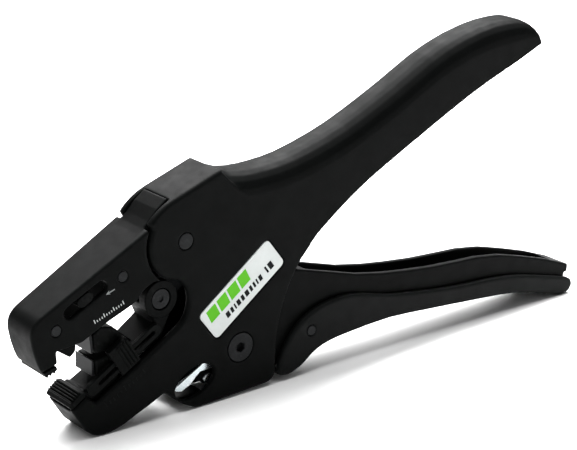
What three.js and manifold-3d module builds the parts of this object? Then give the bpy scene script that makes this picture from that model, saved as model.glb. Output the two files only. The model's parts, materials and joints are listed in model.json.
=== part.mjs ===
// Self-adjusting wire stripper, standing upright on its lower jaw, its belly and the end of its grip.
// Millimetres, +Z up. The side view lies in the XZ plane: jaws towards -X, handles towards +X.
// The outlines are drawn from a datum on the ground below the crotch of the handles, and the whole
// tool is then moved by DATUM_X so that the origin is the bottom centre of its bounding box.
import * as THREE from 'three';
import { mergeVertices } from 'three/addons/utils/BufferGeometryUtils.js';
import Module from 'manifold-3d';

const wasm = await Module();
wasm.setup();

// ---- driving dimensions --------------------------------------------------------------------
const DATUM_X = -9.23;
const HALF = 7.5; // half the width of the housing
const INNER = 5.5; // half the width of the channel between the cheeks
const LEVER_HALF = 5.2;
const CARRIAGE_HALF = 4.8;
const GAP = 0.3; // clearance between pieces that touch
const WALL = 3; // thickness of webs, floors and roofs
const UPPER_NOSE_SHARE = 0.81; // the jaws narrow to these shares of the full width at their noses
const LOWER_NOSE_SHARE = 0.8;

const LEVER_PIVOT = [-21.9, 13.8];
const JAW_PIVOT = [-38.8, 47.3];
const EYE = [-45.2, 32.3]; // pivot of the blade carriage's draw bar
const SLIDE_ANGLE = THREE.MathUtils.degToRad(30.3); // the carriage and the length stop slide along this
const JAW_ANGLE = THREE.MathUtils.degToRad(27.8); // slope of the upper jaw's back

const CHEEK_ARC = 11; // front of the cheeks, round the jaw pivot
const JAW_ARC = 11.8; // rear of the upper jaw, round the same pivot
const HUB_RADIUS = 4.3;
const JAW_PIN_RADIUS = 2;
const EYE_RADIUS = 5;
const SCREW_HEAD_RADIUS = 3.9;
const SCREW_SHANK_RADIUS = 2.5;

// ---- materials -----------------------------------------------------------------------------
const plastic = () => new THREE.MeshStandardMaterial({ color: 0x1b1e1f, roughness: 0.6, metalness: 0 });
const blackSteel = () => new THREE.MeshStandardMaterial({ color: 0x25272a, roughness: 0.4,
  metalness: 0.9 });
const brightSteel = () => new THREE.MeshStandardMaterial({ color: 0xcdd6d8, roughness: 0.25,
  metalness: 1 });
const whiteFilm = () => new THREE.MeshStandardMaterial({ color: 0xf2f4f2, roughness: 0.5, metalness: 0 });

// ---- solids --------------------------------------------------------------------------------
function toSolid(geometry) {
  const bare = geometry.clone();
  bare.deleteAttribute('normal');
  bare.deleteAttribute('uv');
  const merged = mergeVertices(bare, 1e-4);
  return new wasm.Manifold(new wasm.Mesh({
    numProp: 3,
    vertProperties: new Float32Array(merged.attributes.position.array),
    triVerts: new Uint32Array(merged.index.array),
  }));
}

function toGeometry(solid) {
  const { vertProperties, triVerts } = solid.getMesh();
  const geometry = new THREE.BufferGeometry();
  geometry.setAttribute('position', new THREE.BufferAttribute(vertProperties, 3));
  geometry.setIndex(new THREE.BufferAttribute(triVerts, 1));
  geometry.computeVertexNormals();
  return geometry;
}

// A side-view shape extruded across the tool from y = near to y = far.
function plateGeometry(shape, near, far, chamfer = 0, curveSegments = 6) {
  const geometry = new THREE.ExtrudeGeometry(shape, {
    depth: far - near - 2 * chamfer,
    curveSegments,
    bevelEnabled: chamfer > 0,
    bevelThickness: chamfer,
    bevelSize: chamfer,
    bevelOffset: -chamfer,
    bevelSegments: 1,
  });
  geometry.rotateX(Math.PI / 2);
  geometry.translate(0, far - chamfer, 0);
  return geometry;
}

const plate = (shape, near, far, chamfer, curveSegments) =>
  toSolid(plateGeometry(shape, near, far, chamfer, curveSegments));

const polygon = (points) => new THREE.Shape(points.map(([x, z]) => new THREE.Vector2(x, z)));
const vectors = (points) => points.map(([x, z]) => new THREE.Vector2(x, z));

// A cylinder across the tool, round a side-view point.
function barrel([x, z], radius, near, far, sides = 24) {
  const geometry = new THREE.CylinderGeometry(radius, radius, far - near, sides);
  geometry.translate(x, (near + far) / 2, z);
  return toSolid(geometry);
}

// A rectangular block, length x across x height, turned by an angle in the side view.
function block([x, z], length, height, near, far, angle = 0) {
  const geometry = new THREE.BoxGeometry(length, far - near, height);
  geometry.rotateY(-angle);
  geometry.translate(x, (near + far) / 2, z);
  return toSolid(geometry);
}

// A slot with round ends between two side-view points.
function slot([x1, z1], [x2, z2], width, near, far) {
  const angle = Math.atan2(z2 - z1, x2 - x1);
  const length = Math.hypot(x2 - x1, z2 - z1);
  return block([(x1 + x2) / 2, (z1 + z2) / 2], length, width, near, far, angle)
    .add(barrel([x1, z1], width / 2, near, far))
    .add(barrel([x2, z2], width / 2, near, far));
}

// A point reached from a start by going along and across a slope.
const along = ([x, z], angle, forward, up = 0) => [
  x + forward * Math.cos(angle) - up * Math.sin(angle),
  z + forward * Math.sin(angle) + up * Math.cos(angle),
];

// A body skinned over rings of equal point counts, each ring convex and lying in a plane x = const.
function loft(rings) {
  const count = rings[0].length;
  const positions = rings.flat().flat();
  const indices = [];
  for (let ring = 0; ring + 1 < rings.length; ring += 1) {
    for (let i = 0; i < count; i += 1) {
      const a = ring * count + i;
      const b = ring * count + ((i + 1) % count);
      indices.push(a, b, a + count, b, b + count, a + count);
    }
  }
  const last = (rings.length - 1) * count;
  for (let i = 1; i + 1 < count; i += 1) {
    indices.push(0, i + 1, i);
    indices.push(last, last + i, last + i + 1);
  }
  const geometry = new THREE.BufferGeometry();
  geometry.setAttribute('position', new THREE.BufferAttribute(new Float32Array(positions), 3));
  geometry.setIndex(indices);
  return toSolid(geometry);
}

// Narrows a solid's width evenly in front of x = rear, to a share of it at x = nose.
function taper(solid, rear, nose, share) {
  const ahead = block([rear - 100, 0], 200, 400, -50, 50);
  const geometry = toGeometry(solid.intersect(ahead));
  const position = geometry.attributes.position;
  for (let i = 0; i < position.count; i += 1) {
    const forward = (rear - position.getX(i)) / (rear - nose);
    position.setY(i, position.getY(i) * (1 + (share - 1) * forward));
  }
  return toSolid(geometry).add(toSolid(toGeometry(solid.subtract(ahead))));
}

const upperTaper = (solid) => taper(solid, -49.5, -83.5, UPPER_NOSE_SHARE);
const lowerTaper = (solid) => taper(solid, -50.7, -73.5, LOWER_NOSE_SHARE);

// ---- handle curves: height over x ----------------------------------------------------------
function heightCurve(points) {
  const samples = new THREE.SplineCurve(vectors(points)).getPoints(points.length * 8);
  return (x) => {
    const next = Math.min(Math.max(samples.findIndex((p) => p.x >= x), 1), samples.length - 1);
    const [a, b] = [samples[next - 1], samples[next]];
    return a.y + ((b.y - a.y) * (x - a.x)) / (b.x - a.x);
  };
}

const HANDLE_END = 85.3;
const crest = heightCurve([
  [-28, 64.4], [-24, 62.5], [-20, 61.6], [-14, 61.3], [-4, 62], [6, 64.3], [16, 67.5], [26, 71.8],
  [36, 76.5],
  [46, 81.6], [56, 85.3], [66, 87.5], [74, 88], [79, 87.4], [82.5, 85.6], [84.5, 83], [HANDLE_END, 80.6],
]);
const HANDLE_LOWER_EDGE = [
  [-2.4, 32.9], [0.3, 36.7], [6.6, 41.9], [20, 50.8], [40, 60.8], [60, 70.1], [76.2, 76.2],
  [HANDLE_END, 79.9],
];
const handleUnderside = heightCurve([[-40, -10], [-12, 20], ...HANDLE_LOWER_EDGE]);

// The handle's cross-section at one x: straight flanks under a rounded top.
function arch(x, top, bottom, halfWidth, radius) {
  const flank = [];
  const steps = 5;
  const round = Math.min(radius, Math.max((top - bottom) / 2, 0.1));
  for (let i = 0; i <= steps; i += 1) {
    const turn = (Math.PI / 2) * (i / steps);
    flank.push([x, halfWidth - round * (1 - Math.cos(turn)), top - round * (1 - Math.sin(turn))]);
  }
  const mirrored = flank.map(([px, py, pz]) => [px, -py, pz]).reverse();
  return [[x, halfWidth, bottom], ...flank, ...mirrored, [x, -halfWidth, bottom]];
}

// ---- housing: cheeks, top web, lower jaw and fixed handle in one moulding -------------------
function headOutline() {
  const shape = new THREE.Shape();
  shape.moveTo(-73.4, 8.9);
  shape.lineTo(-69.7, 2.9);
  shape.quadraticCurveTo(-67.9, 0, -64.5, 0);
  shape.quadraticCurveTo(-60.6, 0, -55.2, 2.8);
  shape.lineTo(-46.3, 6.8);
  shape.lineTo(-45.3, 6.3);
  shape.quadraticCurveTo(-38.5, 0, -34.9, 0);
  shape.lineTo(-13.5, 1);
  shape.quadraticCurveTo(-10.1, 1.2, -10.1, 4.5);
  shape.lineTo(-9.9, 11);
  shape.quadraticCurveTo(-9, 22, -2.4, 32.9);
  shape.lineTo(-4, 52);
  shape.lineTo(-15, 54.5);
  shape.quadraticCurveTo(-22, 57, -27.2, 64.1);
  shape.lineTo(-41.6, 59.2);
  shape.quadraticCurveTo(-46.6, 57.4, -49.6, 53.8);
  const arcStart = Math.atan2(52.2 - JAW_PIVOT[1], -48.65 - JAW_PIVOT[0]);
  const arcEnd = Math.atan2(37.6 - JAW_PIVOT[1], -45.4 - JAW_PIVOT[0]);
  shape.absarc(...JAW_PIVOT, CHEEK_ARC, arcStart, arcEnd + 2 * Math.PI, false);
  shape.quadraticCurveTo(-38.4, 37.3, -38.1, 31.3);
  shape.quadraticCurveTo(-38.3, 26.3, -41.9, 24.2);
  shape.lineTo(-66.4, 9.6);
  shape.lineTo(-69, 11.6);
  shape.closePath();
  return shape;
}

// The channel between the cheeks, open to the jaws, below the cutter and behind.
const HEAD_CHANNEL = [
  [-90, 8.6], [-72.2, 8.3], [-66.6, 8.3], [-64.4, 4.6], [-61, 4.3], [-50, 9], [-46.6, 10.4],
  [-43.4, 8.6], [-42, -3],
  [20, -3], [20, 33], [-1.5, 33.5], [-1.5, 56], [-16, 56.5], [-22, 58.4], [-27, 60.4], [-42.4, 55.4],
  [-42.4, 64], [-70, 64], [-95, 30],
];

function handleShell() {
  const stations = [-26, -23, -19, -15, -11, -7, -2, 4, 10, 16, 22, 28, 34, 40, 46, 52, 58, 64, 69, 74,
    77.5,
    80, 82, 83.5, 84.6, HANDLE_END];
  const outer = stations.map((x) => arch(x, crest(x), Math.min(handleUnderside(x), crest(x) - 0.4),
    HALF, 6));
  const inner = stations.filter((x) => x < 81)
    .map((x) => arch(x, crest(x) - WALL, Math.min(handleUnderside(x), crest(x) - WALL) - 4, INNER, 4));
  return loft(outer).subtract(loft(inner));
}

const WINDOW_CENTRE = [-36.6, 7.6];
const WINDOW_ANGLE = THREE.MathUtils.degToRad(20);

function cutterWindow() {
  const shape = new THREE.Shape();
  shape.absellipse(...WINDOW_CENTRE, 6.7, 4.2, 0, 2 * Math.PI, false, WINDOW_ANGLE);
  return plate(shape, -HALF - 1, HALF + 1, 0, 10);
}

const LABEL_CENTRE = [-21.2, 30.1];
const LABEL_ANGLE = THREE.MathUtils.degToRad(36.4);
const LABEL_SIZE = [27.8, 9.6];
const LABEL_CORNER = 1.3;

function roundedBlock(centre, length, height, corner, near, far, angle) {
  const shape = new THREE.Shape();
  const [a, b] = [length / 2 - corner, height / 2 - corner];
  const corners = [[a, b, 0], [-a, b, 1], [-a, -b, 2], [a, -b, 3]];
  for (const [x, z, quarter] of corners) {
    const [cx, cz] = along(centre, angle, x, z);
    const start = angle + (quarter * Math.PI) / 2;
    shape.absarc(cx, cz, corner, start, start + Math.PI / 2, false);
  }
  return plate(shape, near, far, 0, 4);
}

const BLADE_NEAR = -5; // the cutter blade runs down the near side of the channel
const BLADE_FAR = -4.2;
const BLADE_ROOM = 0.3;

// The bar under the window that the cutter blade shears past.
function anvil() {
  return plate(headOutline(), BLADE_FAR + BLADE_ROOM, HALF - 1, 0, 8)
    .intersect(block([-39.5, 0.6], 16, 4, -9, 9));
}

function housing() {
  const cheekHole = (point, radius) => barrel(point, radius, -HALF - 1, HALF + 1);
  const counterbore = (near, far) => barrel(LEVER_PIVOT, SCREW_HEAD_RADIUS + GAP, near, far, 32);
  return lowerTaper(plate(headOutline(), -HALF, HALF, 0.6, 8))
    .subtract(lowerTaper(plate(polygon(HEAD_CHANNEL), -INNER, INNER)))
    .add(handleShell())
    .add(anvil())
    .subtract(cutterWindow())
    .subtract(cheekHole(JAW_PIVOT, JAW_PIN_RADIUS + GAP))
    .subtract(cheekHole(LEVER_PIVOT, SCREW_SHANK_RADIUS + GAP))
    .subtract(counterbore(-HALF - 1, -HALF + 1.6))
    .subtract(counterbore(HALF - 1.6, HALF + 1))
    .subtract(roundedBlock(LABEL_CENTRE, LABEL_SIZE[0] + 2 * GAP, LABEL_SIZE[1] + 2 * GAP,
      LABEL_CORNER + GAP,
      -HALF - 1, -HALF + 0.7, LABEL_ANGLE));
}

// ---- upper jaw -----------------------------------------------------------------------------
function jawOutline() {
  const top = Math.atan2(51.6 - JAW_PIVOT[1], -49.8 - JAW_PIVOT[0]);
  const bottom = Math.atan2(38.2 - JAW_PIVOT[1], -46.3 - JAW_PIVOT[0]) + 2 * Math.PI;
  const shape = new THREE.Shape();
  shape.absarc(...JAW_PIVOT, JAW_ARC, top, bottom, false);
  shape.lineTo(-48.5, 38.4);
  shape.quadraticCurveTo(-52.4, 37, -53.4, 34.7);
  shape.lineTo(-55.8, 33.4);
  shape.lineTo(-64, 30);
  shape.lineTo(-69.9, 27);
  shape.lineTo(-77.3, 26.2);
  shape.lineTo(-77.1, 23);
  shape.lineTo(-81.6, 21.6);
  shape.quadraticCurveTo(-83.5, 25.4, -84.2, 30.7);
  shape.quadraticCurveTo(-84.6, 34.3, -81.2, 36.2);
  shape.lineTo(-50, 52.65);
  shape.closePath();
  return shape;
}

const JAW_HOLLOW = [
  [-79, 20], [-79, 30.5], [-76.4, 34.2], [-50.5, 48], [-40, 53], [-40, 36], [-56, 20],
];
const JAW_NECK = [
  [-52, 50.4], [-52, 51.6], [-50.4, 52.6], [-48.6, 54.1], [-46, 56.8], [-42.9, 59.1], [-42.9, 55],
  [-38, 47.3],
  [-42.3, 43.4],
  [-47.5, 40.8], [-50.6, 39.6],
];
// A stop inside the nose that keeps the wire square to the blades.
const WIRE_GUIDE = [
  [-79.8, 30.2], [-79.8, 26.6], [-75, 24.7], [-71.6, 22.2], [-70, 23.6], [-69.8, 25.4], [-70.6, 31],
  [-73, 32.2],
];
const ADJUSTER_SLOT = [[-73.2, 35.7], [-64, 40.5]];
const ADJUSTER_MIDDLE = [0, 1].map((i) => (ADJUSTER_SLOT[0][i] + ADJUSTER_SLOT[1][i]) / 2);
const JAW_FRONT_PIN = [-77.2, 31.8];
const JAW_REAR_PIN = [-57.8, 42];
const SMALL_PIN_RADIUS = 1.2;

function upperJaw() {
  const crossHole = (point) => barrel(point, SMALL_PIN_RADIUS + GAP, -HALF - 1, HALF + 1);
  const shell = upperTaper(plate(jawOutline(), -HALF, HALF, 0.4, 8));
  return shell
    .subtract(upperTaper(plate(polygon(JAW_HOLLOW), -HALF + 2.1, HALF - 2.1)))
    .add(plate(polygon(JAW_NECK), -LEVER_HALF, LEVER_HALF))
    .add(plate(polygon(WIRE_GUIDE), -3.2, 3.2))
    .add(barrel(JAW_PIVOT, HUB_RADIUS, -LEVER_HALF, LEVER_HALF, 32))
    .subtract(block([-58, 44.2], 18, 5, -3, 3, JAW_ANGLE))
    .subtract(barrel(JAW_PIVOT, JAW_PIN_RADIUS + GAP, -HALF - 1, HALF + 1))
    .subtract(crossHole(JAW_FRONT_PIN))
    .subtract(crossHole(JAW_REAR_PIN))
    .subtract(slot(...ADJUSTER_SLOT, 3.5, -HALF - 1, HALF + 1));
}

function depthAdjuster() {
  const [front, rear] = [-1, 1].map((shift) => along(ADJUSTER_MIDDLE, JAW_ANGLE, shift));
  return slot(front, rear, 2.8, -6.5, 6.5);
}

// The gripping plate under the nose of the upper jaw, toothed along its lower face.
function upperClampPlate() {
  const start = [-80.9, 21.3];
  const slope = Math.atan2(22.7 - 21.4, -77.1 + 81.5);
  const body = block(along(start, slope, 1.9, -0.7), 3.8, 1.1, -5.7, 5.7, slope);
  const teeth = [0, 1, 2].map((i) => {
    const tooth = along(start, slope, 0.55 + 1.1 * i, -1.2);
    return plate(polygon([along(tooth, slope, -0.5), along(tooth, slope, 0, -0.7), along(tooth, slope,
      0.5),
      along(tooth, slope, 0, 0.4)]), -5.7, 5.7);
  });
  return teeth.reduce((sum, tooth) => sum.add(tooth), body);
}

// ---- lower jaw insert ----------------------------------------------------------------------
const RIB_COUNT = 5;
const CLAMP_TIP = [-73.4, 10.8];
const CLAMP_TOP = [-70.6, 13];

function lowerClampJaw() {
  const nose = [CLAMP_TIP, CLAMP_TOP, [-69.4, 13.05], [-69.4, 11.8], [-73.4, 9.3], [-73.9, 9.9]];
  const front = plate(polygon(nose), -5.9, 5.9);
  const tongue = lowerTaper(plate(polygon([[-71, 12], [-68.6, 13.1], [-67.6, 12.7], [-59.4, 16.5],
    [-58.6, 13.6], [-66.5, 8.6], [-72.2, 8.6], [-72.9, 9.6]]), -INNER + GAP, INNER - GAP));
  const rise = Math.atan2(CLAMP_TOP[1] - CLAMP_TIP[1], CLAMP_TOP[0] - CLAMP_TIP[0]);
  const face = Math.hypot(CLAMP_TOP[0] - CLAMP_TIP[0], CLAMP_TOP[1] - CLAMP_TIP[1]);
  const ribs = Array.from({ length: RIB_COUNT }, (_, i) =>
    block(along(CLAMP_TIP, rise, 0.3 + ((face - 0.4) * i) / (RIB_COUNT - 1), 0), 0.4, 1, -5.6, 5.6,
      rise));
  return ribs.reduce((sum, rib) => sum.add(rib), front.add(tongue));
}

// ---- length stop on its slotted rail ---------------------------------------------------------
const RAIL_START = [-68.2, 11.6];
const RAIL_LENGTH = 24;
const RAIL_RISE = 1.2;
const STOP_AT = 13.2; // distance of the stop from the front of the rail

function lengthStopRail() {
  const start = along(RAIL_START, SLIDE_ANGLE, 1.8, RAIL_RISE);
  const end = along(RAIL_START, SLIDE_ANGLE, RAIL_LENGTH, RAIL_RISE);
  return slot(start, end, 3.4, -6.6, -5.4)
    .subtract(slot(along(start, SLIDE_ANGLE, 2.4), along(end, SLIDE_ANGLE, -0.8), 1.1, -8, -4));
}

function lengthStop() {
  const centre = along(RAIL_START, SLIDE_ANGLE, STOP_AT, 2.4);
  const body = block(centre, 6.2, 8.2, -HALF + 0.4, -5.2, SLIDE_ANGLE);
  const groove = block(along(centre, SLIDE_ANGLE, 0, RAIL_RISE - 2.4), 9, 4.1, -6.9, -4, SLIDE_ANGLE);
  const ribs = [0, 1, 2, 3].map((i) =>
    block(along(centre, SLIDE_ANGLE, -0.4 + i * 1.05), 0.55, 7.4, -HALF, -HALF + 0.6, SLIDE_ANGLE));
  return ribs.reduce((sum, rib) => sum.add(rib), body).subtract(groove);
}

// ---- blade carriage --------------------------------------------------------------------------
function carriage() {
  const arm = plate(polygon([[-49.4, 30], [-48.2, 28.2], [-47.4, 26.3], [-53.1, 22.4], [-54.6, 21.2],
    [-54.6, 17.2],
    [-52.5, 17.8], [-45, 22], [-41, 30.2]]), -CARRIAGE_HALF, CARRIAGE_HALF, 0.4);
  return arm.add(barrel(EYE, EYE_RADIUS, -CARRIAGE_HALF - 0.3, CARRIAGE_HALF + 0.3, 32))
    .subtract(barrel(EYE, 1.8, -9, 9))
    .subtract(barrel(EYE, 3, -9, -CARRIAGE_HALF + 1.2))
    .subtract(block([-42, 34.2], 16.4, 14, -2.4, 2.4, SLIDE_ANGLE));
}

function carriageScrew() {
  const socket = new THREE.CylinderGeometry(1, 1, 2, 6);
  socket.translate(EYE[0], -CARRIAGE_HALF - 0.6, EYE[1]);
  return barrel(EYE, 2.6, -CARRIAGE_HALF - 0.1, -CARRIAGE_HALF + 0.9)
    .add(barrel(EYE, 1.4, -CARRIAGE_HALF + 0.5, CARRIAGE_HALF))
    .subtract(toSolid(socket));
}

function drawBar() {
  const end = along(EYE, SLIDE_ANGLE, 13);
  return slot(EYE, end, 7.6, -2, 2).subtract(barrel(EYE, 1.8, -4, 4)).subtract(barrel(end, 1.2, -4, 4));
}

const UPPER_HOLDER = [
  [-65, 22], [-55.2, 22.2], [-53.9, 22.9], [-56.5, 25.2], [-59.5, 28], [-63.4, 28.8], [-65.3, 27.2],
];
const LOWER_HOLDER = [[-64.9, 15.6], [-59.6, 17.9], [-55, 18.6], [-55, 21.5], [-60, 20.9], [-65, 20.2]];

const upperBladeHolder = () => plate(polygon(UPPER_HOLDER), -4.4, 4.4, 0.3);
const lowerBladeHolder = () => plate(polygon(LOWER_HOLDER), -4.4, 4.4, 0.3);

function blade(root, tip) {
  const [x1, z1] = root;
  const [x2, z2] = tip;
  return plate(polygon([[x1, z1], [x1 + 0.8, z1], [x2 + 0.5, z2], [x2, z2]]), -4, 4);
}

// ---- lever, grip and cutter ------------------------------------------------------------------
const LEVER_TOP = [
  [102.5, 8.4], [91.3, 12.6], [81.3, 15.6], [71.3, 18.2], [61.3, 19.3], [51.3, 19.7], [41.3, 20.7],
  [31.3, 22],
  [21.3, 23.8], [11.3, 26.7], [-1.6, 30.5],
];
const LEVER_BOTTOM = [
  [-3, 6], [2.5, 8.4], [10, 10.6], [20, 11.5], [30, 11.7], [45, 10.6], [60, 9.4], [75, 8.3],
  [84, 6.8], [92, 4.6],
  [99, 2.6],
];

function leverOutline() {
  const shape = new THREE.Shape();
  shape.moveTo(101, 4.5);
  shape.lineTo(101, 5.9);
  shape.lineTo(102.3, 6);
  shape.lineTo(...LEVER_TOP[0]);
  shape.splineThru(vectors(LEVER_TOP.slice(1)));
  shape.lineTo(-12, 31.2);
  shape.quadraticCurveTo(-20, 31, -25, 22);
  shape.quadraticCurveTo(-27, 18, -32, 15.8);
  shape.lineTo(-40.4, 12.4);
  shape.lineTo(-41, 9.4);
  shape.lineTo(-33.4, 7.4);
  shape.lineTo(-31.6, 4.6);
  shape.lineTo(-26, 4.2);
  shape.lineTo(-18, 5);
  shape.lineTo(-9, 4.4);
  shape.splineThru(vectors(LEVER_BOTTOM));
  shape.closePath();
  return shape;
}

function handleLever() {
  const inside = new THREE.Shape();
  inside.moveTo(96, 7);
  inside.lineTo(97, 40);
  inside.lineTo(2, 40);
  inside.lineTo(4, 12);
  inside.splineThru(vectors([[12, 13.4], [20, 13.9], [30, 14], [45, 12.9], [60, 11.7], [75, 10.5],
    [84, 9], [96, 7]]));
  return plate(leverOutline(), -LEVER_HALF, LEVER_HALF, 0.3, 1)
    .subtract(plate(inside, -3.3, 3.3, 0, 1))
    .subtract(barrel(LEVER_PIVOT, SCREW_SHANK_RADIUS + GAP, -9, 9))
    .subtract(barrel(LEVER_PIVOT, 7.6, 2.2, 9, 32))
    .subtract(block([-36.8, 10], 20, 24, -9, BLADE_FAR + BLADE_ROOM))
    .subtract(barrel(CUTTER_SCREW, CUTTER_SCREW_RADIUS + GAP, -9, 0, 16))
    .subtract(barrel(GRIP_PIN, SMALL_PIN_RADIUS + GAP, -9, 9));
}

const GRIP_PIN = [2.1, 12.5];
const GRIP_TOP = [
  [-8.8, 5.8], [-6.7, 10], [-3.3, 14.2], [0, 16.7], [5, 18.8], [10, 19.6], [14, 19.8], [20, 19],
  [30, 16.4],
  [40, 14.8], [50, 13.4], [60, 12.5], [70, 11.9], [80, 10.5], [90, 8], [100.4, 5.2],
];
const GRIP_BOTTOM = [
  [97.6, 0.05], [90, 2.3], [85, 3.7], [75, 5.6], [60, 6.9], [45, 8.1], [30, 9.1], [15, 8.3], [8, 7.4],
  [3, 5.6],
  [-1, 2.8], [-5.2, 1.3],
];

function gripShell() {
  const shape = new THREE.Shape();
  shape.moveTo(-9.2, 3);
  shape.lineTo(-8.8, 5.8);
  shape.splineThru(vectors(GRIP_TOP.slice(1)));
  shape.quadraticCurveTo(102.6, 4.6, 102.7, 2.6);
  shape.quadraticCurveTo(101.9, 0, 99.4, 0);
  shape.lineTo(97.6, 0.05);
  shape.splineThru(vectors(GRIP_BOTTOM.slice(1)));
  shape.quadraticCurveTo(-9, 1, -9.2, 3);
  const room = new THREE.Shape();
  room.moveTo(101.4, 2.2);
  room.lineTo(101.6, 40);
  room.lineTo(-15, 40);
  room.lineTo(-15, 4.1);
  room.lineTo(-9, 4.1);
  room.splineThru(vectors([[-3, 5.6], ...LEVER_BOTTOM.slice(1).map(([x, z]) => [x, z - GAP - 0.1]),
    [101.4, 2.2]]));
  return plate(shape, -HALF + 0.1, HALF - 0.1, 0.6, 2)
    .subtract(plate(room, -LEVER_HALF - GAP, LEVER_HALF + GAP, 0, 1))
    .subtract(barrel(GRIP_PIN, SMALL_PIN_RADIUS + GAP, -9, 9));
}

const CUTTER_SCREW = [-30.6, 6.3];
const CUTTER_SCREW_RADIUS = 0.8;
const CUTTER_BLADE = [
  [-41.2, 6.4], [-32.8, 10.8], [-29, 12.6], [-27.6, 10.4], [-29.5, 8.9], [-33.2, 9], [-34.6, 7.9],
  [-36.4, 6.1],
  [-39.4, 4.8], [-41, 5.2],
];

function cutterScrew() {
  return barrel(CUTTER_SCREW, 1.4, BLADE_NEAR, BLADE_FAR + 0.1, 20)
    .add(barrel(CUTTER_SCREW, CUTTER_SCREW_RADIUS, BLADE_FAR, -0.6, 16));
}

// ---- screws, nut, spring ---------------------------------------------------------------------
function pivotScrew() {
  const socket = new THREE.CylinderGeometry(1.6, 1.6, 4, 6);
  socket.translate(LEVER_PIVOT[0], -HALF - 0.2, LEVER_PIVOT[1]);
  return barrel(LEVER_PIVOT, SCREW_HEAD_RADIUS, -HALF, -HALF + 1.3, 32)
    .add(barrel(LEVER_PIVOT, SCREW_SHANK_RADIUS, -HALF + 1, 5.3))
    .subtract(toSolid(socket));
}

function returnSpring() {
  const [turns, coilRadius, wireRadius, near, far] = [2.5, 5.2, 0.55, 3, 4.7];
  const path = new THREE.CatmullRomCurve3(
    Array.from({ length: turns * 16 + 1 }, (_, i) => {
      const turn = (i / 16) * 2 * Math.PI + 0.6;
      return new THREE.Vector3(LEVER_PIVOT[0] + coilRadius * Math.cos(turn),
        near + ((far - near) * i) / (turns * 16), LEVER_PIVOT[1] + coilRadius * Math.sin(turn));
    }),
  );
  const section = new THREE.Shape();
  section.absarc(0, 0, Math.min(wireRadius, (far - near) / turns / 2 - 0.05), 0, 2 * Math.PI, false);
  return toSolid(new THREE.ExtrudeGeometry(section, {
    steps: turns * 16, curveSegments: 4, bevelEnabled: false, extrudePath: path,
  }));
}

// ---- assembly --------------------------------------------------------------------------------
const tool = new THREE.Group();
tool.position.x = DATUM_X;

function addPiece(name, solid, material) {
  const mesh = new THREE.Mesh(toGeometry(solid), material);
  mesh.name = name;
  tool.add(mesh);
}

addPiece('housing', housing(), plastic());
addPiece('upper_jaw', upperJaw(), plastic());
addPiece('upper_clamp_plate', upperClampPlate(), plastic());
addPiece('lower_clamp_jaw', lowerClampJaw(), plastic());
addPiece('length_stop_rail', lengthStopRail(), plastic());
addPiece('length_stop', lengthStop(), plastic());
addPiece('jaw_pin', barrel(JAW_PIVOT, JAW_PIN_RADIUS, -HALF, HALF), blackSteel());
addPiece('jaw_front_pin', barrel(JAW_FRONT_PIN, SMALL_PIN_RADIUS, -6.3, 6.3, 16), blackSteel());
addPiece('jaw_rear_pin', barrel(JAW_REAR_PIN, SMALL_PIN_RADIUS, -7.1, 7.1, 16), blackSteel());
addPiece('depth_adjuster', depthAdjuster(), plastic());
addPiece('carriage', carriage(), plastic());
addPiece('carriage_screw', carriageScrew(), blackSteel());
addPiece('draw_bar', drawBar(), blackSteel());
addPiece('upper_blade_holder', upperBladeHolder(), plastic());
addPiece('lower_blade_holder', lowerBladeHolder(), plastic());
addPiece('upper_blade', blade([-66.4, 27], [-66, 22.1]), blackSteel());
addPiece('lower_blade', blade([-66, 16], [-65.9, 20.2]), blackSteel());
addPiece('handle_lever', handleLever(), plastic());
addPiece('grip_shell', gripShell(), plastic());
addPiece('grip_pin', barrel(GRIP_PIN, SMALL_PIN_RADIUS, -7.4, 7.4, 16), blackSteel());
addPiece('cutter_blade', plate(polygon(CUTTER_BLADE), BLADE_NEAR, BLADE_FAR), brightSteel());
addPiece('cutter_screw', cutterScrew(), brightSteel());
addPiece('handle_pivot_screw', pivotScrew(), blackSteel());
addPiece('handle_pivot_nut', barrel(LEVER_PIVOT, SCREW_HEAD_RADIUS, HALF - 1.3, HALF, 6), blackSteel());
addPiece('return_spring', returnSpring(), brightSteel());
addPiece('label_plate', roundedBlock(LABEL_CENTRE, ...LABEL_SIZE, LABEL_CORNER, -HALF, -HALF + 0.4,
  LABEL_ANGLE),
  whiteFilm());

export default tool;
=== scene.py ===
"""Looks of a self-adjusting wire stripper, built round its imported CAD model."""
import json
import math

import bmesh
import bpy
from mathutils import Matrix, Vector


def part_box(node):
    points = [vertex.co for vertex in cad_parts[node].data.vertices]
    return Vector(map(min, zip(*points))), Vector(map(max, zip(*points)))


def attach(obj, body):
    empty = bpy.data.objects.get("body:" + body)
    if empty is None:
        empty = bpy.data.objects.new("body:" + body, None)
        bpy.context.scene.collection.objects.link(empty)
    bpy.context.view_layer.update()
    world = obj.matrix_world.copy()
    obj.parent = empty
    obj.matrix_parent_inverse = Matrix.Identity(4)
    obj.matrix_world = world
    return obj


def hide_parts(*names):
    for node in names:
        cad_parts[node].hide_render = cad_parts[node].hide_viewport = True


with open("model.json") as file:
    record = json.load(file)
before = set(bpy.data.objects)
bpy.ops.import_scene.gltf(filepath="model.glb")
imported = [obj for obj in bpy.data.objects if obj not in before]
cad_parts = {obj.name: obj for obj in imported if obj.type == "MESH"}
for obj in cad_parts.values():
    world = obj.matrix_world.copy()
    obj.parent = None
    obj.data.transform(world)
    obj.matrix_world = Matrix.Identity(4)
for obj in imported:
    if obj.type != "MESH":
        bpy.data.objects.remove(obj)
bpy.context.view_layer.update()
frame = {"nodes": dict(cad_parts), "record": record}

MM = 0.001
DATUM_X = -9.23  # the side view is drawn from a datum this far from the row's origin, in millimetres
HALF = 7.5  # half the width of the body
SLIDE_SLOPE = math.radians(30.3)  # of the length stop's rail
SLIDE_SCALE_START = (-63.4, 7.6)
LABEL_CENTRE = (-21.2, 30.1)
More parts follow.
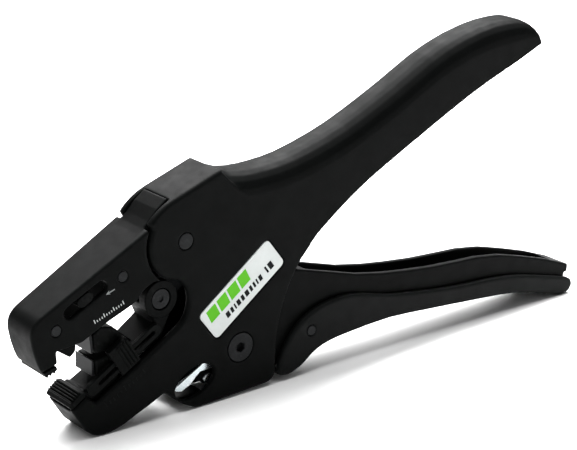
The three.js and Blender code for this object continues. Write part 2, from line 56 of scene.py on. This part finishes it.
LABEL_SLOPE = math.radians(36.4)
LABEL_LENGTH, LABEL_HEIGHT, LABEL_CORNER = 27.8, 9.6, 1.3
LABEL_SUNK = 0.06  # the film lies this far below the body's face
JAW_TICKS_START = (-66.2, 31.0)
JAW_TICKS_SLOPE = math.radians(21.5)
JAW_ARROW_TIP = (-62.9, 38.3)
JAW_ARROW_SLOPE = math.radians(20)
UPPER_TAPER = (-49.5, -83.5, 0.81)  # where the upper jaw starts to narrow, its nose, the width left there
LOWER_TAPER = (-50.7, -73.5, 0.8)  # the same for the lower jaw

# ---- camera ----------------------------------------------------------------------------------
CAMERA_AZIMUTH = math.radians(-37.54)
CAMERA_ELEVATION = math.radians(19.37)
CAMERA_PLACE = Vector((-320.0, -404.2, 220.6)) * MM
CAMERA_LENS = 125.1


def add_camera():
    data = bpy.data.cameras.new("camera")
    data.lens = CAMERA_LENS
    data.clip_start = 0.01
    camera = bpy.data.objects.new("camera", data)
    camera.location = CAMERA_PLACE
    camera.rotation_euler = (math.pi / 2 - CAMERA_ELEVATION, 0, CAMERA_AZIMUTH)
    bpy.context.collection.objects.link(camera)
    bpy.context.scene.camera = camera


add_camera()


# ---- materials -------------------------------------------------------------------------------
class Shading:
    """A material under construction: short calls that add and join nodes."""

    def __init__(self, name):
        self.material = bpy.data.materials.new(name)
        self.material.use_nodes = True
        self.tree = self.material.node_tree
        self.shader = self.tree.nodes["Principled BSDF"]
        self.place = self.node("ShaderNodeTexCoord").outputs["Object"]

    def node(self, kind, **settings):
        node = self.tree.nodes.new(kind)
        for key, value in settings.items():
            setattr(node, key, value)
        return node

    def join(self, source, target):
        self.tree.links.new(source, target)

    def noise(self, cell, detail=4.0, roughness=0.5):
        """Noise whose blobs are about `cell` millimetres across."""
        node = self.node("ShaderNodeTexNoise")
        node.inputs["Scale"].default_value = 1 / (cell * MM)
        node.inputs["Detail"].default_value = detail
        node.inputs["Roughness"].default_value = roughness
        self.join(self.place, node.inputs["Vector"])
        return node.outputs["Fac"]

    def stretched_noise(self, cell, stretch):
        """Noise drawn out into lines, finer along the axes with the larger stretch."""
        mapping = self.node("ShaderNodeMapping")
        mapping.inputs["Scale"].default_value = stretch
        self.join(self.place, mapping.inputs["Vector"])
        node = self.node("ShaderNodeTexNoise")
        node.inputs["Scale"].default_value = 1 / (cell * MM)
        node.inputs["Detail"].default_value = 3.0
        self.join(mapping.outputs[0], node.inputs["Vector"])
        return node.outputs["Fac"]

    def ramp(self, source, *stops):
        node = self.node("ShaderNodeValToRGB")
        elements = node.color_ramp.elements
        while len(elements) < len(stops):
            elements.new(0.5)
        for element, (position, colour) in zip(elements, stops):
            element.position = position
            element.color = (*colour, 1) if len(colour) == 3 else colour
        self.join(source, node.inputs["Fac"])
        return node.outputs["Color"]

    def mix(self, factor, first, second):
        node = self.node("ShaderNodeMix", data_type="RGBA")
        self.join(factor, node.inputs["Factor"])
        self.join(first, node.inputs["A"])
        self.join(second, node.inputs["B"])
        return node.outputs["Result"]

    def bump(self, *layers):
        """Stacks (height, strength, depth in millimetres) layers into the shader's normal."""
        normal = None
        for height, strength, depth in layers:
            node = self.node("ShaderNodeBump")
            node.inputs["Strength"].default_value = strength
            node.inputs["Distance"].default_value = depth * MM
            self.join(height, node.inputs["Height"])
            if normal:
                self.join(normal, node.inputs["Normal"])
            normal = node.outputs["Normal"]
        self.join(normal, self.shader.inputs["Normal"])

    def edges(self, low=0.51, high=0.56):
        """White along convex edges, black elsewhere."""
        geometry = self.node("ShaderNodeNewGeometry")
        return self.ramp(geometry.outputs["Pointiness"], (low, (0, 0, 0)), (high, (1, 1, 1)))


def grey(level, tint=0.0):
    """A grey that leans to blue-green by a share of its level."""
    return (level * (1 - tint), level, level * (1 - tint / 4))


def moulded(name, level, rough, grain, specular=0.03, wear_and_highlight_gain=3.0):
    """Matt glass-filled plastic: uneven colour, a fine spark-eroded grain and paler, smoother edges. The
    paler edges are partly edge wear and partly a painted highlight.
    """
    s = Shading(name)
    cloudy = s.ramp(s.noise(9, 5), (0.3, grey(level * 0.8, 0.15)), (0.7, grey(level * 1.25, 0.2)))
    specks = s.ramp(s.noise(0.35, 2), (0.35, grey(level * 0.7, 0.15)), (0.75, grey(level * 1.7, 0.15)))
    body = s.mix(s.noise(1.6, 3), cloudy, specks)
    # paler colour on convex edges: partly edge wear, partly a painted highlight where rounded edges catch
    # the light
    wear_and_highlight = s.ramp(s.noise(2.4, 4), (0.35, grey(level * 1.3, 0.1)), (0.7, grey(level * wear_and_highlight_gain, 0.1)))
    s.join(s.mix(s.edges(), body, wear_and_highlight), s.shader.inputs["Base Color"])
    uneven = s.ramp(s.noise(3.0, 4), (0.3, grey(rough - 0.06)), (0.7, grey(rough + 0.07)))
    s.join(uneven, s.shader.inputs["Roughness"])
    s.shader.inputs["Specular IOR Level"].default_value = specular
    s.bump((s.noise(0.22, 3, 0.6), 0.35 * grain, 0.03), (s.noise(4.5, 2), 0.1, 0.12))
    return s.material


def machined(name, light, dark, rough, stretch, metallic=1.0):
    """Steel with fine grinding lines across it, brighter on its edges. Blackened steel is not metallic."""
    s = Shading(name)
    lines = s.stretched_noise(0.25, stretch)
    face = s.ramp(lines, (0.3, dark), (0.7, light))
    stains = s.ramp(s.noise(3.5, 4), (0.35, dark), (0.6, light))
    bright = s.ramp(s.noise(1.2, 2), (0.3, light), (0.7, tuple(min(1.0, c * 1.25) for c in light)))
    flat = s.mix(s.noise(2.0, 3), face, stains)
    s.join(s.mix(s.edges(0.52, 0.6), flat, bright), s.shader.inputs["Base Color"])
    ground = s.ramp(lines, (0.3, grey(rough - 0.05)), (0.7, grey(rough + 0.08)))
    s.join(ground, s.shader.inputs["Roughness"])
    s.shader.inputs["Metallic"].default_value = metallic
    s.shader.inputs["Specular IOR Level"].default_value = 0.06
    s.bump((lines, 0.12, 0.02), (s.noise(0.6, 3), 0.06, 0.03))
    return s.material


def printed(name, colour, rough, sheen=0.3):
    """Ink or film: a flat colour with a slight mottle and a satin skin."""
    s = Shading(name)
    faded = tuple(c * 0.93 for c in colour)
    s.join(s.ramp(s.noise(2.5, 4), (0.3, faded), (0.65, colour)), s.shader.inputs["Base Color"])
    uneven = s.ramp(s.noise(0.8, 3), (0.3, grey(rough - 0.05)), (0.7, grey(rough + 0.05)))
    s.join(uneven, s.shader.inputs["Roughness"])
    s.shader.inputs["Specular IOR Level"].default_value = sheen
    s.bump((s.noise(0.4, 3), 0.08, 0.01))
    return s.material


MATERIALS = {
    "black_nylon": moulded("black_nylon", 0.002, 0.5, 1.3),
    "clamp_plastic": moulded("clamp_plastic", 0.002, 0.5, 1.0, 0.03),
    "grip_plastic": moulded("grip_plastic", 0.003, 0.52, 1.8, 0.05),
    "black_steel": machined("black_steel", (0.011, 0.0118, 0.0125), (0.004, 0.0044, 0.0048), 0.36,
                            (1, 1, 6), 0.0),
    "blade_steel": machined("blade_steel", (0.84, 0.9, 0.92), (0.62, 0.7, 0.73), 0.24, (1, 6, 1)),
    "spring_steel": machined("spring_steel", (0.45, 0.46, 0.47), (0.3, 0.31, 0.32), 0.3, (1, 1, 8)),
    "label_film": printed("label_film", (0.55, 0.58, 0.57), 0.42, 0.15),
}
GREEN_INK = printed("green_ink", (0.085, 0.4, 0.008), 0.4, 0.1)
BLACK_INK = printed("black_ink", (0.005, 0.0055, 0.006), 0.5, 0.05)
WHITE_INK = printed("white_ink", (0.42, 0.45, 0.45), 0.5)
GREY_INK = printed("grey_ink", (0.16, 0.17, 0.17), 0.5)

SLOTS = {row["node"]: row["material_slot"] for row in frame["record"]["subparts"]}
BODIES = {node: body for body, nodes in frame["record"]["behaviour"]["bodies"].items() for node in nodes}


def dress(piece, material):
    piece.data.materials.clear()
    piece.data.materials.append(material)


for node, slot in SLOTS.items():
    dress(frame["nodes"][node], MATERIALS[slot])


# ---- refined pieces --------------------------------------------------------------------------
def new_piece(name, mesh, node, replaces=True):
    """Links a mesh as a piece that rides with a CAD node and, normally, stands for it."""
    piece = bpy.data.objects.new(name, mesh)
    bpy.context.collection.objects.link(piece)
    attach(piece, BODIES[node])
    if replaces:
        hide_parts(node)
    return piece


def applied(piece):
    """Bakes a piece's modifiers into its mesh."""
    graph = bpy.context.evaluated_depsgraph_get()
    mesh = bpy.data.meshes.new_from_object(piece.evaluated_get(graph))
    piece.modifiers.clear()
    piece.data = mesh


def moulded_copy(node, voxel, rounds, keep, swell=0.0):
    """A finer copy of a CAD node with every edge rounded, as it comes out of a mould or a tumbler.
    `swell` grows it by some millimetres to close its fit in a hole, but not past its own ends."""
    mesh = frame["nodes"][node].data.copy()
    piece = bpy.data.objects.new(node + "_finished", mesh)
    bpy.context.collection.objects.link(piece)
    remesh = piece.modifiers.new("remesh", "REMESH")
    remesh.mode = "VOXEL"
    remesh.voxel_size = voxel * MM
    soften = piece.modifiers.new("soften", "SMOOTH")
    soften.factor = 0.5
    soften.iterations = rounds
    if keep < 1:
        thin = piece.modifiers.new("thin", "DECIMATE")
        thin.ratio = keep
    if swell:
        grow = piece.modifiers.new("grow", "DISPLACE")
        grow.strength = swell * MM
        grow.mid_level = 0
    applied(piece)
    low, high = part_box(node)
    for vertex in piece.data.vertices:
        vertex.co.y = min(max(vertex.co.y, low[1]), high[1])
    for polygon in piece.data.polygons:
        polygon.use_smooth = True
    dress(piece, MATERIALS[SLOTS[node]])
    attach(piece, BODIES[node])
    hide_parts(node)
    return piece


# node: voxel in millimetres, rounds of softening, share of faces kept and, for pins, the swell
FINISH = {
    "housing": (0.3, 9, 0.28),
    "upper_jaw": (0.22, 9, 0.3),
    "handle_lever": (0.25, 6, 0.35),
    "grip_shell": (0.3, 8, 0.3),
    "upper_clamp_plate": (0.1, 4, 0.6),
    "lower_clamp_jaw": (0.12, 4, 0.5),
    "length_stop_rail": (0.1, 5, 0.5),
    "length_stop": (0.1, 4, 0.5),
    "depth_adjuster": (0.12, 6, 0.5),
    "carriage": (0.15, 6, 0.5),
    "carriage_screw": (0.07, 4, 0.5, 0.08),
    "upper_blade_holder": (0.14, 6, 0.5),
    "lower_blade_holder": (0.14, 6, 0.5),
    "handle_pivot_screw": (0.09, 4, 0.5, 0.1),
    "handle_pivot_nut": (0.09, 4, 0.5, 0.1),
    "jaw_pin": (0.12, 4, 0.5, 0.16),
    "jaw_front_pin": (0.09, 4, 0.5, 0.2),
    "jaw_rear_pin": (0.09, 4, 0.5, 0.2),
    "grip_pin": (0.09, 4, 0.5, 0.18),
    "cutter_screw": (0.07, 4, 0.5),
    "cutter_blade": (0.1, 2, 0.5),
    "upper_blade": (0.1, 1, 0.6),
    "lower_blade": (0.1, 1, 0.6),
}
for node, settings in FINISH.items():
    moulded_copy(node, *settings)


# ---- flat marks ------------------------------------------------------------------------------
def face_depth(x, rear, nose, share):
    """Half the body's width at x, where it narrows from x = rear to a share of it at x = nose."""
    forward = min(max((rear - x) / (rear - nose), 0), 1.2)
    return HALF * (1 + (share - 1) * forward)


def upper_depth(x):
    return face_depth(x, *UPPER_TAPER)


def lower_depth(x):
    return face_depth(x, *LOWER_TAPER)


def add_bar(mesh, outline, depth, raised, sunk):
    """A thin prism on the near face; `depth` gives the face's distance from the middle plane at x."""
    rings = []
    for offset in (raised, -sunk):
        places = [((x + DATUM_X) * MM, -(depth(x) + offset) * MM, z * MM) for x, z in outline]
        rings.append([mesh.verts.new(place) for place in places])
    count = len(outline)
    mesh.faces.new(rings[0])
    mesh.faces.new(list(reversed(rings[1])))
    for i in range(count):
        j = (i + 1) % count
        mesh.faces.new([rings[0][j], rings[0][i], rings[1][i], rings[1][j]])


def along(start, slope, forward, up=0.0):
    """The point reached from `start` by going forward along a slope and up square to it."""
    x, z = start
    cos, sin = math.cos(slope), math.sin(slope)
    return (x + forward * cos - up * sin, z + forward * sin + up * cos)


def strip(start, slope, length, height, corner=0.0, lean=0.0):
    """The outline of a bar that starts at a point and runs along a slope. Its corners may be rounded, or
    its ends may lean."""
    if not corner:
        points = [(0, 0), (length, 0), (length + lean, height), (lean, height)]
    else:
        points = []
        for cx, cy, first in ((length - corner, corner, -90), (length - corner, height - corner, 0),
                              (corner, height - corner, 90), (corner, corner, 180)):
            for step in range(5):
                turn = math.radians(first + 22.5 * step)
                points.append((cx + corner * math.cos(turn), cy + corner * math.sin(turn)))
    return [along(start, slope, x, y) for x, y in points]


def marks(name, outlines, depth, node, material, raised=0.02, sunk=0.1):
    """One piece of thin bars that lie on the near face and ride with a node, without replacing it."""
    mesh = bmesh.new()
    for outline in outlines:
        add_bar(mesh, outline, depth, raised, sunk)
    bmesh.ops.recalc_face_normals(mesh, faces=mesh.faces)
    data = bpy.data.meshes.new(name)
    mesh.to_mesh(data)
    mesh.free()
    piece = new_piece(name, data, node, replaces=False)
    dress(piece, material)
    return piece


def label_point(forward, up):
    return along(LABEL_CENTRE, LABEL_SLOPE, forward, up)


def label_depth(x):
    return HALF - LABEL_SUNK


def label_film():
    """The label's sheet, which stands for the CAD node of the label."""
    outline = strip(label_point(-LABEL_LENGTH / 2, -LABEL_HEIGHT / 2), LABEL_SLOPE, LABEL_LENGTH,
                    LABEL_HEIGHT, corner=LABEL_CORNER)
    mesh = bmesh.new()
    add_bar(mesh, outline, lambda x: HALF, -LABEL_SUNK, 0.4)
    bmesh.ops.recalc_face_normals(mesh, faces=mesh.faces)
    sharp = [e for e in mesh.edges if e.is_boundary is False and e.calc_face_angle(0) > 1.2]
    bmesh.ops.bevel(mesh, geom=sharp, offset=0.05 * MM, segments=2, affect="EDGES")
    data = bpy.data.meshes.new("label_sheet")
    mesh.to_mesh(data)
    mesh.free()
    piece = new_piece("label_sheet", data, "label_plate")
    dress(piece, MATERIALS["label_film"])


def label_print():
    """Plain green blocks and a row of plain black bars in place of any text."""
    block_pitch, block_length, block_height = 4.1, 3.5, 3.7
    blocks = []
    for i in range(4):
        corner = label_point(-12.3 + block_pitch * i, 0.1)
        blocks.append(strip(corner, LABEL_SLOPE, block_length, block_height, lean=0.6))
    marks("label_blocks", blocks, label_depth, "label_plate", GREEN_INK, 0.02, 0.05)

    line, gap, bar_height = -2.9, 0.55, 1.7
    bars, start = [], -8.0
    for width in (1.3, 0.9, 0.5, 1.2, 1.0, 1.3, 0.9, 0.7, 0.5, 1.1):
        bars.append(strip(label_point(start, line), LABEL_SLOPE, width, bar_height, lean=0.2))
        start += width + gap
    tall = 2.2
    bars.append(strip(label_point(start + 1.4, line), LABEL_SLOPE, 0.6, tall))
    bars.append(strip(label_point(start + 2.6, line), LABEL_SLOPE, 1.5, tall))
    marks("label_bars", bars, label_depth, "label_plate", BLACK_INK, 0.02, 0.05)


label_film()
label_print()


def jaw_marks():
    """White size ticks and an arrow beside the depth adjuster's slot."""
    pitch, width, long_tick, short_tick = 0.75, 0.24, 1.1, 0.6
    ticks = []
    for i in range(13):
        corner = along(JAW_TICKS_START, JAW_TICKS_SLOPE, pitch * i, 0.3)
        ticks.append(strip(corner, JAW_TICKS_SLOPE, width, long_tick if i % 4 == 0 else short_tick))
    marks("jaw_ticks", ticks, upper_depth, "upper_jaw", WHITE_INK, 0.015, 0.15)
    barbs, neck, tail, half_shaft, half_head = 1.2, 0.9, 2.7, 0.16, 0.6
    shape = ((0, 0), (barbs, half_head), (neck, half_shaft), (tail, half_shaft),
             (tail, -half_shaft), (neck, -half_shaft), (barbs, -half_head))
    arrow = [along(JAW_ARROW_TIP, JAW_ARROW_SLOPE, forward, up) for forward, up in shape]
    marks("jaw_arrow", [arrow], upper_depth, "upper_jaw", GREY_INK, 0.015, 0.15)


jaw_marks()


def rail_scale():
    """Moulded graduations on the cheek beside the length stop's rail."""
    pitch, width, long_bar, short_bar = 1.3, 0.32, 1.7, 1.1
    bars = []
    for i in range(11):
        corner = along(SLIDE_SCALE_START, SLIDE_SLOPE, pitch * i, 0)
        bars.append(strip(corner, SLIDE_SLOPE, width, long_bar if i % 5 == 0 else short_bar))
    plastic = MATERIALS["clamp_plastic"]
    marks("rail_scale", bars, lower_depth, "housing", plastic, 0.06, 0.2)


rail_scale()


# ---- stage and light -------------------------------------------------------------------------
def area_light(name, place, target, size, power, size_y=None):
    data = bpy.data.lights.new(name, "AREA")
    data.energy = power
    data.size = size
    if size_y:
        data.shape = "RECTANGLE"
        data.size_y = size_y
    light = bpy.data.objects.new(name, data)
    light.location = place
    light.rotation_euler = (Vector(target) - Vector(place)).to_track_quat("-Z", "Y").to_euler()
    bpy.context.collection.objects.link(light)


def add_stage():
    bpy.ops.mesh.primitive_plane_add(size=8)
    floor = bpy.context.object
    floor.name = "floor"
    s = Shading("floor_white")
    white = s.ramp(s.noise(400, 2), (0.3, grey(0.9)), (0.7, grey(0.93)))
    s.join(white, s.shader.inputs["Base Color"])
    s.shader.inputs["Roughness"].default_value = 0.9
    s.shader.inputs["Specular IOR Level"].default_value = 0.05
    floor.data.materials.append(s.material)
    world = bpy.data.worlds.new("studio")
    world.use_nodes = True
    background = world.node_tree.nodes["Background"]
    background.inputs["Color"].default_value = (1, 1, 1, 1)
    background.inputs["Strength"].default_value = 0.28
    bpy.context.scene.world = world
    area_light("overhead_softbox", (0.0, 0.3, 1.3), (0, 0.1, 0), 1.8, 37, 1.4)
    area_light("back_softbox", (0.4, 1.0, 0.85), (0, 0, 0.05), 0.9, 26, 0.7)
    area_light("crest_softbox", (0.62, 0.35, 1.0), (0, 0, 0.05), 0.5, 27)
    bpy.context.scene.view_settings.view_transform = "Standard"


add_stage()
